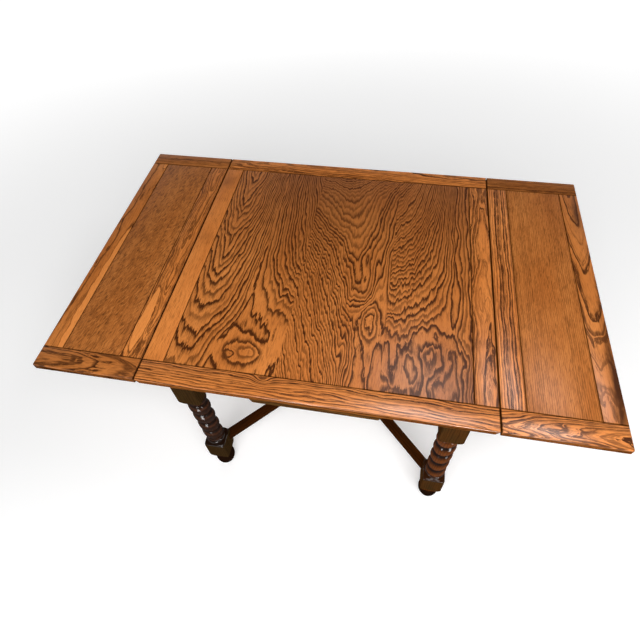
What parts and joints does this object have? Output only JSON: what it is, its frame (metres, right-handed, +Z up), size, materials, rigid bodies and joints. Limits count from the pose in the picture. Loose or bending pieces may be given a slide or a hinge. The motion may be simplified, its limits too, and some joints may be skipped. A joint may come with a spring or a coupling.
{
  "type": "extending table",
  "caption": "Oak draw-leaf dining table with a loose framed top, framed end leaves on tapered bearers, barley-twist legs with bun feet and crossed stretchers.",
  "frame": {"origin": "on the floor, under the middle of the table", "axes": "+X along the length, from the left leaf to the right leaf; +Y from the front to the back; +Z up"},
  "size_m": [1.489, 0.914, 0.762],
  "materials": {
    "golden_oak": "stained and waxed oak, satin, with dark grain lines",
    "figured_oak": "boldly figured oak panel, stained and waxed, satin",
    "plain_oak": "plain unpolished oak of the hidden pieces",
    "frame_oak": "dark stained oak, waxed",
    "dark_oak": "very dark stained oak, polished on the turnings"
  },
  "bodies": {
    "frame": {"leg_front_left": "dark_oak", "leg_front_right": "dark_oak", "leg_back_left": "dark_oak", "leg_back_right": "dark_oak", "front_apron": "frame_oak", "back_apron": "frame_oak", "left_apron": "frame_oak", "right_apron": "frame_oak", "lower_stretcher": "dark_oak", "upper_stretcher": "dark_oak", "centre_board": "plain_oak"},
    "top": {"top_front_rail": "golden_oak", "top_back_rail": "golden_oak", "top_left_stile": "golden_oak", "top_right_stile": "golden_oak", "top_panel": "figured_oak", "top_peg_front": "plain_oak", "top_peg_back": "plain_oak"},
    "left_leaf": {"left_leaf_front_rail": "golden_oak", "left_leaf_back_rail": "golden_oak", "left_leaf_outer_stile": "golden_oak", "left_leaf_inner_stile": "golden_oak", "left_leaf_panel": "figured_oak", "left_bearer_front": "plain_oak", "left_bearer_back": "plain_oak", "left_stop_front": "plain_oak", "left_stop_back": "plain_oak"},
    "right_leaf": {"right_leaf_front_rail": "golden_oak", "right_leaf_back_rail": "golden_oak", "right_leaf_outer_stile": "golden_oak", "right_leaf_inner_stile": "golden_oak", "right_leaf_panel": "figured_oak", "right_bearer_front": "plain_oak", "right_bearer_back": "plain_oak", "right_stop_front": "plain_oak", "right_stop_back": "plain_oak"}
  },
  "joints": [
    {"name": "top_lift", "type": "slide", "parent": "frame", "child": "top", "axis": [0, 0, 1], "range_m": [0, 0.5]},
    {"name": "left_leaf_draw", "type": "slide", "parent": "frame", "child": "left_leaf", "axis": [0.997, 0, -0.0773], "range_m": [0, 0.2899]},
    {"name": "right_leaf_draw", "type": "slide", "parent": "frame", "child": "right_leaf", "axis": [-0.997, 0, -0.0773], "range_m": [0, 0.2899]}
  ],
  "couplings": [
    {"joint": "left_leaf_draw", "follows": "top_lift", "ratio": 0.5797},
    {"joint": "right_leaf_draw", "follows": "top_lift", "ratio": 0.5797}
  ]
}
